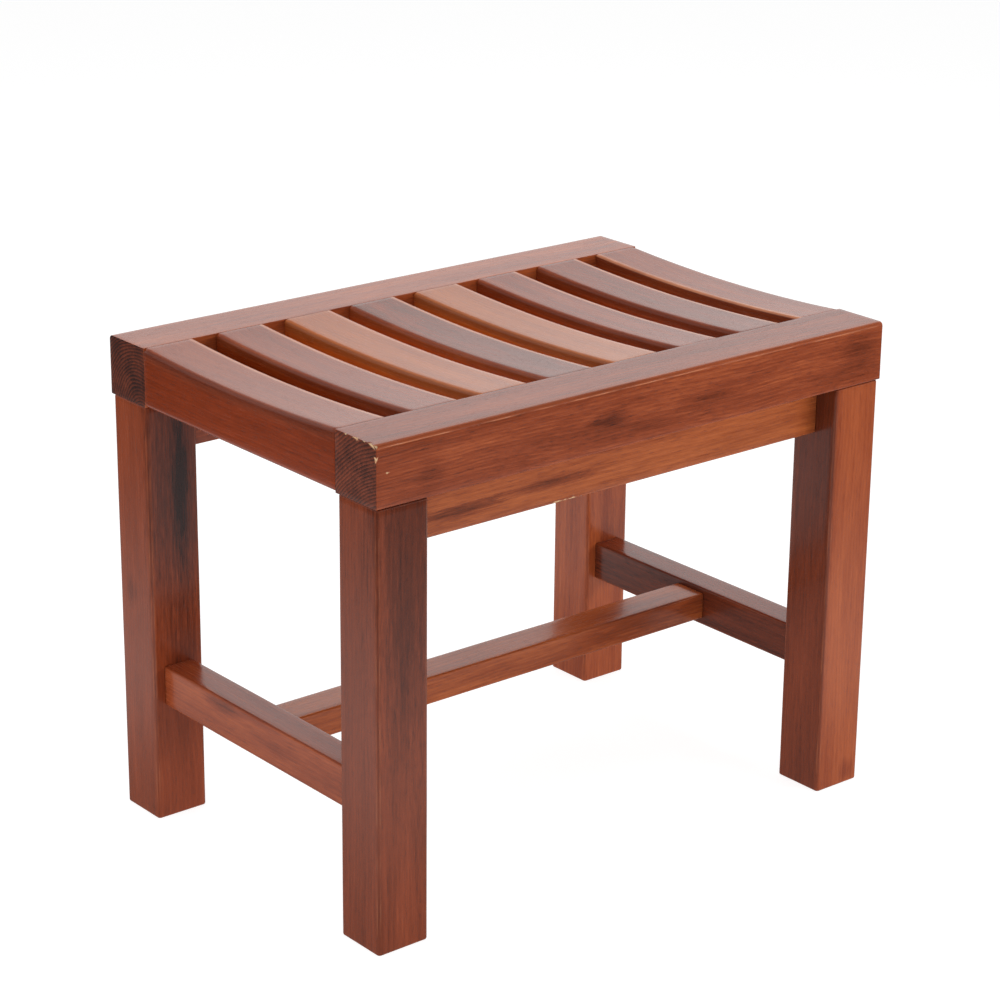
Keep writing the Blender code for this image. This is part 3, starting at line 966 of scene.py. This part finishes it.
class STOOL_OT_studio(bpy.types.Operator):
    """Lay the floor, and set the lights and the camera"""

    bl_idname = "stool.studio"
    bl_label = "Studio"

    def execute(self, context):
        build_floor()
        build_world()
        build_sheen_mat()
        build_lights()
        build_camera()
        context.scene.view_settings.view_transform = "Standard"
        return {"FINISHED"}


BACKWARD = (0.63, 0.77, 0)  # towards the white back wall, from the stool
CEILING_FADE = (0.40, 0.64)
WALL_FADE = (0.20, 0.70)
FLOOR_FADE = (0.35, 0.95)
FLOOR_LEAST = 0.02
HORIZON = (-0.04, 0.04)
MAT_LIFT = 0.0005
MAT_FADE = 0.45  # how far from its middle the mat starts to fade
# painted shadow: the mat's glow is dimmed under the seat, where the stool would shade it
SEAT_HALF = (0.25, 0.17, 0.0)  # the stool shades the mat under it
MAT_SHADE = (-0.02, 0.25, 0.3, 1.0)  # from and to, by how far outside the seat, and how bright
# Each lamp's size, its place and its aim
LAMPS = {
    "ceiling_light": ((2.4, 2.4), (0, 0, 2.2), (0, 0, 0)),
    "front_light": ((1.2, 0.5), (1.3, -1.9, 0.75), (0, 0, 0.3)),
    "left_light": ((0.8, 0.8), (-2.2, 0.3, 0.8), (0, 0, 0.3)),
}


def build_floor():
    colours = bpy.context.scene.stool_colours
    bm = bmesh.new()
    bmesh.ops.create_grid(bm, x_segments=8, y_segments=8, size=30.0)
    mesh = bpy.data.meshes.new("floor")
    bm.to_mesh(mesh)
    bm.free()
    floor = bpy.data.objects.new("floor", mesh)
    bpy.context.scene.collection.objects.link(floor)
    made = bpy.data.materials.new("floor_paint")
    made.use_nodes = True
    tree = made.node_tree
    shader = tree.nodes["Principled BSDF"]
    place = new_node(tree, "ShaderNodeTexCoord")
    cloud = new_node(tree, "ShaderNodeTexNoise")
    cloud.inputs["Scale"].default_value = 3.0
    tree.links.new(place.outputs["Object"], cloud.inputs["Vector"])
    mix = new_node(tree, "ShaderNodeMixRGB")
    tree.links.new(cloud.outputs["Fac"], mix.inputs["Fac"])
    mix.inputs["Color1"].default_value = (*colours.floor, 1.0)
    mix.inputs["Color2"].default_value = (*(part * 0.99 for part in colours.floor), 1.0)
    tree.links.new(mix.outputs[0], shader.inputs["Base Color"])
    shader.inputs["Roughness"].default_value = 0.9
    shader.inputs["Specular IOR Level"].default_value = 0.1
    shader.inputs["Emission Color"].default_value = (1.0, 1.0, 1.0, 1.0)
    shader.inputs["Emission Strength"].default_value = bpy.context.scene.stool_studio.floor_glow
    floor.visible_glossy = False
    mesh.materials.append(made)


def build_world():
    """A white back wall, with dimmer walls at the sides and a dim ceiling."""
    studio = bpy.context.scene.stool_studio
    world = bpy.data.worlds.new("studio")
    bpy.context.scene.world = world
    world.use_nodes = True
    tree = world.node_tree
    way = new_node(tree, "ShaderNodeTexCoord").outputs["Generated"]
    height = part_along(tree, way, 2)
    backward = vector_maths(tree, "DOT_PRODUCT", way, BACKWARD)
    shine = spread(tree, backward, *FLOOR_FADE)
    below = maths(tree, "MULTIPLY_ADD", shine, studio.floor_shine, FLOOR_LEAST)
    above = spread(tree, height, *CEILING_FADE, 1.0, studio.ceiling_shine)
    above = product(tree, above, spread(tree, backward, *WALL_FADE, studio.side_shade, 1.0))
    level = blend_colours(tree, spread(tree, height, *HORIZON), below, above)
    background = tree.nodes["Background"]
    tree.links.new(level, background.inputs["Color"])
    background.inputs["Strength"].default_value = studio.backdrop_light


def build_sheen_mat():
    """A pale mat under the stool that shows only in its gloss, and fades out round the edge.

    Its glow is painted darker under the seat, as a painted shadow of the stool.
    """
    studio = bpy.context.scene.stool_studio
    bm = bmesh.new()
    bmesh.ops.create_circle(
        bm, cap_ends=True, cap_tris=True, segments=48, radius=studio.mat_radius,
        matrix=Matrix.Translation((0, 0, MAT_LIFT)),
    )
    mesh = bpy.data.meshes.new("sheen_mat")
    bm.to_mesh(mesh)
    bm.free()
    mat = bpy.data.objects.new("sheen_mat", mesh)
    bpy.context.scene.collection.objects.link(mat)
    for kind in ("camera", "diffuse", "shadow", "transmission", "volume_scatter"):
        setattr(mat, "visible_" + kind, False)
    made = bpy.data.materials.new("mat_glow")
    made.use_nodes = True
    made.cycles.emission_sampling = "NONE"
    tree = made.node_tree
    tree.nodes.clear()
    place = new_node(tree, "ShaderNodeTexCoord")
    away = vector_maths(tree, "LENGTH", place.outputs["Object"])
    glow = new_node(tree, "ShaderNodeEmission")
    outside = vector_maths(tree, "ABSOLUTE", place.outputs["Object"])
    outside = vector_maths(tree, "SUBTRACT", outside, SEAT_HALF)
    parts = new_node(tree, "ShaderNodeSeparateXYZ")
    tree.links.new(outside, parts.inputs[0])
    outside = maths(tree, "MAXIMUM", parts.outputs["X"], parts.outputs["Y"])
    # painted shadow of the stool in the mat's glow
    lit = product(tree, spread(tree, outside, *MAT_SHADE), studio.mat_glow)
    tree.links.new(lit, glow.inputs["Strength"])
    mix = new_node(tree, "ShaderNodeMixShader")
    tree.links.new(spread(tree, away, MAT_FADE, studio.mat_radius, 1, 0), mix.inputs[0])
    tree.links.new(new_node(tree, "ShaderNodeBsdfTransparent").outputs[0], mix.inputs[1])
    tree.links.new(glow.outputs[0], mix.inputs[2])
    output = new_node(tree, "ShaderNodeOutputMaterial")
    tree.links.new(mix.outputs[0], output.inputs["Surface"])
    mesh.materials.append(made)


def build_lights():
    """Soft lamps that light the wood and don't show in its gloss."""
    for name, (size, place, aim) in LAMPS.items():
        light = bpy.data.lights.new(name, "AREA")
        light.shape = "RECTANGLE"
        light.size, light.size_y = size
        light.energy = getattr(bpy.context.scene.stool_studio, name)
        lamp = bpy.data.objects.new(name, light)
        bpy.context.scene.collection.objects.link(lamp)
        lamp.location = place
        lamp.rotation_euler = (Vector(aim) - Vector(place)).to_track_quat("-Z", "Y").to_euler()
        lamp.visible_glossy = False
        lamp.visible_camera = False


def build_camera():
    studio = bpy.context.scene.stool_studio
    azimuth, elevation = studio.camera_azimuth, studio.camera_elevation
    back = Vector((sin(azimuth) * cos(elevation), -cos(azimuth) * cos(elevation), sin(elevation)))
    lens = bpy.data.cameras.new("camera")
    lens.sensor_width = 36.0
    lens.lens = studio.camera_lens
    camera = bpy.data.objects.new("camera", lens)
    bpy.context.scene.collection.objects.link(camera)
    turn = (-back).to_track_quat("-Z", "Y").to_matrix().to_4x4()
    roll = Matrix.Rotation(studio.camera_roll, 4, "Z")
    spot = Vector(studio.camera_aim) + back * studio.camera_distance
    camera.matrix_world = Matrix.Translation(spot) @ turn @ roll
    bpy.context.scene.camera = camera


STEPS = (
    STOOL_OT_rails,
    STOOL_OT_slats,
    STOOL_OT_legs,
    STOOL_OT_aprons,
    STOOL_OT_stretchers,
    STOOL_OT_dowels,
    STOOL_OT_studio,
)


class STOOL_PT_panel(bpy.types.Panel):
    """Lists the stool's steps, sizes and colours"""

    bl_idname = "STOOL_PT_panel"
    bl_label = "Shower stool"
    bl_space_type = "VIEW_3D"
    bl_region_type = "UI"
    bl_category = "Stool"

    def draw(self, context):
        layout = self.layout
        for step in STEPS:
            layout.operator(step.bl_idname)
        for group in (context.scene.stool_sizes, context.scene.stool_colours, context.scene.stool_studio):
            box = layout.box()
            for key in group.bl_rna.properties.keys():
                if key not in ("rna_type", "name"):
                    box.prop(group, key)


CLASSES = (StoolSizes, StoolColours, StoolStudio, *STEPS, STOOL_PT_panel)


def register():
    for kind in CLASSES:
        bpy.utils.register_class(kind)
    bpy.types.Scene.stool_sizes = PointerProperty(type=StoolSizes)
    bpy.types.Scene.stool_colours = PointerProperty(type=StoolColours)
    bpy.types.Scene.stool_studio = PointerProperty(type=StoolStudio)


def unregister():
    del bpy.types.Scene.stool_studio
    del bpy.types.Scene.stool_colours
    del bpy.types.Scene.stool_sizes
    for kind in reversed(CLASSES):
        bpy.utils.unregister_class(kind)


def main():
    register()
    bpy.ops.stool.rails()
    bpy.ops.stool.slats()
    bpy.ops.stool.legs()
    bpy.ops.stool.aprons()
    bpy.ops.stool.stretchers()
    bpy.ops.stool.dowels()
    bpy.ops.stool.studio()


if __name__ == "__main__":
    main()
